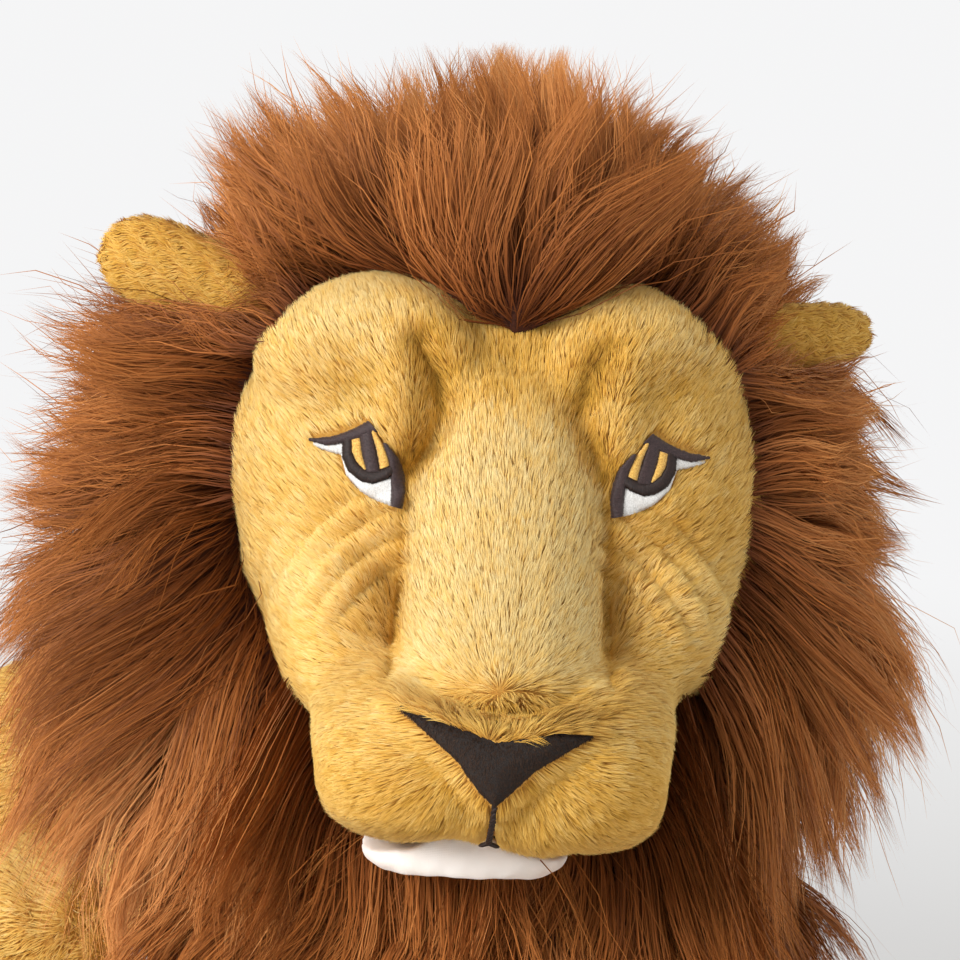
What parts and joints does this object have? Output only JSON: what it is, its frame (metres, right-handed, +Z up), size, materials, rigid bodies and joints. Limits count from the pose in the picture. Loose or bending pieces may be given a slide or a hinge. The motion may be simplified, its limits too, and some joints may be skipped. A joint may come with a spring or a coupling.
{
  "type": "plush lion",
  "caption": "Lying stuffed toy lion with a stitched face, embroidered eyes and a long pile mane; the head turns, the legs splay, the tail swings and the ears flop.",
  "frame": {"origin": "on the belly's flat underside, under the ribs", "axes": "+Z up, -Y towards the muzzle along the body, +X to the lion's left"},
  "size_m": [0.3576, 0.8716, 0.3711],
  "materials": {
    "gold_plush": "short lying pile, matt",
    "pale_plush": "short lying pile, matt",
    "mane_pile": "long combed pile, soft sheen",
    "dark_cloth": "short nap, matt",
    "white_cloth": "smooth brushed cloth",
    "white_thread": "satin stitch",
    "dark_thread": "satin stitch",
    "amber_thread": "satin stitch"
  },
  "bodies": {
    "torso": {"torso": "gold_plush", "mane_collar": "mane_pile", "mane_bib": "mane_pile"},
    "head": {"head": "gold_plush", "nose_bridge": "pale_plush", "brow_left": "gold_plush", "brow_right": "gold_plush", "cheek_left": "gold_plush", "cheek_right": "gold_plush", "muzzle_left": "gold_plush", "muzzle_right": "gold_plush", "chin": "white_cloth", "nose": "dark_cloth", "mouth_seam": "dark_thread", "eye_left": "white_thread", "eye_right": "white_thread", "iris_left": "amber_thread", "iris_right": "amber_thread", "eyelid_left": "dark_thread", "eyelid_right": "dark_thread", "mane_crown": "mane_pile", "mane_left": "mane_pile", "mane_right": "mane_pile", "mane_nape": "mane_pile"},
    "ear_left": {"ear_left": "gold_plush"},
    "ear_right": {"ear_right": "gold_plush"},
    "foreleg_left": {"foreleg_left": "gold_plush", "forepaw_left": "gold_plush"},
    "foreleg_right": {"foreleg_right": "gold_plush", "forepaw_right": "gold_plush"},
    "hind_leg_left": {"thigh_left": "gold_plush", "hind_foot_left": "gold_plush"},
    "hind_leg_right": {"thigh_right": "gold_plush", "hind_foot_right": "gold_plush"},
    "tail": {"tail": "gold_plush", "tail_tuft": "mane_pile"}
  },
  "joints": [
    {"name": "head_turn", "type": "hinge", "parent": "torso", "child": "head", "pos_m": [0, -0.13, 0.158], "axis": [0, 0, 1], "range_deg": [-10, 40], "stiffness_Nm_per_rad": 0.4},
    {"name": "ear_left_flop", "type": "hinge", "parent": "head", "child": "ear_left", "pos_m": [0.0856, -0.1356, 0.2934], "axis": [0.036, 0.1344, 0.9903], "range_deg": [-12, 12], "stiffness_Nm_per_rad": 0.02},
    {"name": "ear_right_flop", "type": "hinge", "parent": "head", "child": "ear_right", "pos_m": [-0.0766, -0.0917, 0.2963], "axis": [-0.036, -0.1344, -0.9903], "range_deg": [-12, 12], "stiffness_Nm_per_rad": 0.02},
    {"name": "foreleg_left_splay", "type": "hinge", "parent": "torso", "child": "foreleg_left", "pos_m": [0.09, -0.095, 0], "axis": [0, 0, 1], "range_deg": [0, 35]},
    {"name": "foreleg_right_splay", "type": "hinge", "parent": "torso", "child": "foreleg_right", "pos_m": [-0.09, -0.095, 0], "axis": [0, 0, -1], "range_deg": [0, 35]},
    {"name": "hind_leg_left_splay", "type": "hinge", "parent": "torso", "child": "hind_leg_left", "pos_m": [0.092, 0.235, 0], "axis": [0, 0, 1], "range_deg": [0, 30]},
    {"name": "hind_leg_right_splay", "type": "hinge", "parent": "torso", "child": "hind_leg_right", "pos_m": [-0.092, 0.235, 0], "axis": [0, 0, -1], "range_deg": [0, 30]},
    {"name": "tail_swing", "type": "hinge", "parent": "torso", "child": "tail", "pos_m": [0, 0.336, 0.042], "axis": [0, 0, 1], "range_deg": [-35, 35]}
  ]
}
